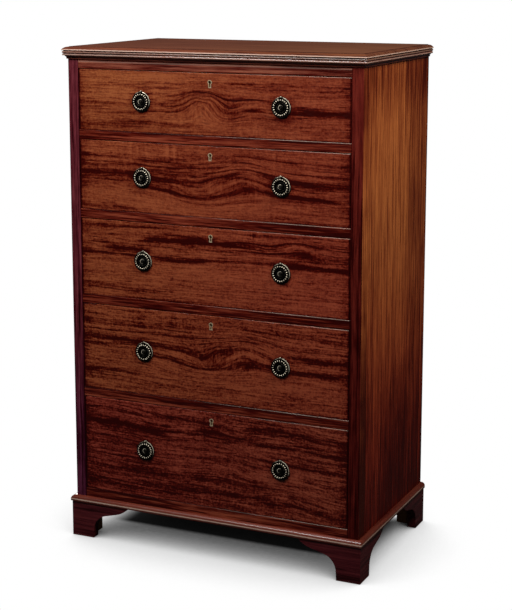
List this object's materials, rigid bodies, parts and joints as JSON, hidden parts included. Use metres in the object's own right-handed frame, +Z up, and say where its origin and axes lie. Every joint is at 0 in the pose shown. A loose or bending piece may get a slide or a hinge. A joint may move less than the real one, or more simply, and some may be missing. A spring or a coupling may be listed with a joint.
{
  "type": "tall chest of drawers",
  "caption": "Tall straight-front mahogany chest with graduated flush drawers, brass ring pulls, a thumb-moulded top and bracket feet.",
  "frame": {"origin": "on the floor under the middle of the chest's outline", "axes": "+Z up, drawers open towards -Y, +X to the right as seen from the front"},
  "size_m": [0.78, 0.462, 1.2255],
  "materials": {
    "mahogany_front": "figured mahogany, polished",
    "mahogany_side": "straight-grained mahogany, polished",
    "mahogany_frame": "dark mahogany, polished",
    "mahogany_top": "mahogany, polished, faded",
    "mahogany_moulding": "mahogany moulding, polished",
    "mahogany_feet": "dark mahogany, polished",
    "oak": "oak, unfinished, aged",
    "pine": "pine, unfinished, aged",
    "antique_brass": "cast brass, dark patina, rubbed high spots",
    "brass": "brass, dull polish",
    "iron": "wrought iron, dark"
  },
  "bodies": {
    "case": {"front_rails": "mahogany_frame", "front_stiles": "mahogany_frame", "side_left": "mahogany_side", "side_right": "mahogany_side", "sub_top": "pine", "bottom_board": "pine", "back_boards": "pine", "back_nails": "iron", "drawer_runners": "oak", "drawer_stops": "oak", "top_board": "mahogany_top", "top_mouldings": "mahogany_moulding", "base_mouldings": "mahogany_moulding", "bracket_feet": "mahogany_feet", "foot_blocks": "pine"},
    "drawer_1": {"drawer_1_front": "mahogany_front", "drawer_1_sides": "oak", "drawer_1_back": "oak", "drawer_1_bottom": "oak", "drawer_1_handle_plates": "antique_brass", "drawer_1_lock": "brass"},
    "ring_1_left": {"drawer_1_ring_left": "antique_brass"},
    "ring_1_right": {"drawer_1_ring_right": "antique_brass"},
    "bolt_1": {"drawer_1_lock_bolt": "brass"},
    "drawer_2": {"drawer_2_front": "mahogany_front", "drawer_2_sides": "oak", "drawer_2_back": "oak", "drawer_2_bottom": "oak", "drawer_2_handle_plates": "antique_brass", "drawer_2_lock": "brass"},
    "ring_2_left": {"drawer_2_ring_left": "antique_brass"},
    "ring_2_right": {"drawer_2_ring_right": "antique_brass"},
    "bolt_2": {"drawer_2_lock_bolt": "brass"},
    "drawer_3": {"drawer_3_front": "mahogany_front", "drawer_3_sides": "oak", "drawer_3_back": "oak", "drawer_3_bottom": "oak", "drawer_3_handle_plates": "antique_brass", "drawer_3_lock": "brass"},
    "ring_3_left": {"drawer_3_ring_left": "antique_brass"},
    "ring_3_right": {"drawer_3_ring_right": "antique_brass"},
    "bolt_3": {"drawer_3_lock_bolt": "brass"},
    "drawer_4": {"drawer_4_front": "mahogany_front", "drawer_4_sides": "oak", "drawer_4_back": "oak", "drawer_4_bottom": "oak", "drawer_4_handle_plates": "antique_brass", "drawer_4_lock": "brass"},
    "ring_4_left": {"drawer_4_ring_left": "antique_brass"},
    "ring_4_right": {"drawer_4_ring_right": "antique_brass"},
    "bolt_4": {"drawer_4_lock_bolt": "brass"},
    "drawer_5": {"drawer_5_front": "mahogany_front", "drawer_5_sides": "oak", "drawer_5_back": "oak", "drawer_5_bottom": "oak", "drawer_5_handle_plates": "antique_brass", "drawer_5_lock": "brass"},
    "ring_5_left": {"drawer_5_ring_left": "antique_brass"},
    "ring_5_right": {"drawer_5_ring_right": "antique_brass"},
    "bolt_5": {"drawer_5_lock_bolt": "brass"}
  },
  "joints": [
    {"name": "drawer_1_slide", "type": "slide", "parent": "case", "child": "drawer_1", "axis": [0, -1, 0], "range_m": [0, 0.3]},
    {"name": "ring_1_left_swing", "type": "hinge", "parent": "drawer_1", "child": "ring_1_left", "pos_m": [-0.18, -0.224, 1.12295], "axis": [-1, 0, 0], "range_deg": [0, 90]},
    {"name": "ring_1_right_swing", "type": "hinge", "parent": "drawer_1", "child": "ring_1_right", "pos_m": [0.18, -0.224, 1.12295], "axis": [-1, 0, 0], "range_deg": [0, 90]},
    {"name": "bolt_1_slide", "type": "slide", "parent": "drawer_1", "child": "bolt_1", "axis": [0, 0, 1], "range_m": [0, 0.008]},
    {"name": "drawer_2_slide", "type": "slide", "parent": "case", "child": "drawer_2", "axis": [0, -1, 0], "range_m": [0, 0.3]},
    {"name": "ring_2_left_swing", "type": "hinge", "parent": "drawer_2", "child": "ring_2_left", "pos_m": [-0.18, -0.224, 0.94245], "axis": [-1, 0, 0], "range_deg": [0, 90]},
    {"name": "ring_2_right_swing", "type": "hinge", "parent": "drawer_2", "child": "ring_2_right", "pos_m": [0.18, -0.224, 0.94245], "axis": [-1, 0, 0], "range_deg": [0, 90]},
    {"name": "bolt_2_slide", "type": "slide", "parent": "drawer_2", "child": "bolt_2", "axis": [0, 0, 1], "range_m": [0, 0.008]},
    {"name": "drawer_3_slide", "type": "slide", "parent": "case", "child": "drawer_3", "axis": [0, -1, 0], "range_m": [0, 0.3]},
    {"name": "ring_3_left_swing", "type": "hinge", "parent": "drawer_3", "child": "ring_3_left", "pos_m": [-0.18, -0.224, 0.74095], "axis": [-1, 0, 0], "range_deg": [0, 90]},
    {"name": "ring_3_right_swing", "type": "hinge", "parent": "drawer_3", "child": "ring_3_right", "pos_m": [0.18, -0.224, 0.74095], "axis": [-1, 0, 0], "range_deg": [0, 90]},
    {"name": "bolt_3_slide", "type": "slide", "parent": "drawer_3", "child": "bolt_3", "axis": [0, 0, 1], "range_m": [0, 0.008]},
    {"name": "drawer_4_slide", "type": "slide", "parent": "case", "child": "drawer_4", "axis": [0, -1, 0], "range_m": [0, 0.3]},
    {"name": "ring_4_left_swing", "type": "hinge", "parent": "drawer_4", "child": "ring_4_left", "pos_m": [-0.18, -0.224, 0.51745], "axis": [-1, 0, 0], "range_deg": [0, 90]},
    {"name": "ring_4_right_swing", "type": "hinge", "parent": "drawer_4", "child": "ring_4_right", "pos_m": [0.18, -0.224, 0.51745], "axis": [-1, 0, 0], "range_deg": [0, 90]},
    {"name": "bolt_4_slide", "type": "slide", "parent": "drawer_4", "child": "bolt_4", "axis": [0, 0, 1], "range_m": [0, 0.008]},
    {"name": "drawer_5_slide", "type": "slide", "parent": "case", "child": "drawer_5", "axis": [0, -1, 0], "range_m": [0, 0.3]},
    {"name": "ring_5_left_swing", "type": "hinge", "parent": "drawer_5", "child": "ring_5_left", "pos_m": [-0.18, -0.224, 0.26845], "axis": [-1, 0, 0], "range_deg": [0, 90]},
    {"name": "ring_5_right_swing", "type": "hinge", "parent": "drawer_5", "child": "ring_5_right", "pos_m": [0.18, -0.224, 0.26845], "axis": [-1, 0, 0], "range_deg": [0, 90]},
    {"name": "bolt_5_slide", "type": "slide", "parent": "drawer_5", "child": "bolt_5", "axis": [0, 0, 1], "range_m": [0, 0.008]}
  ]
}
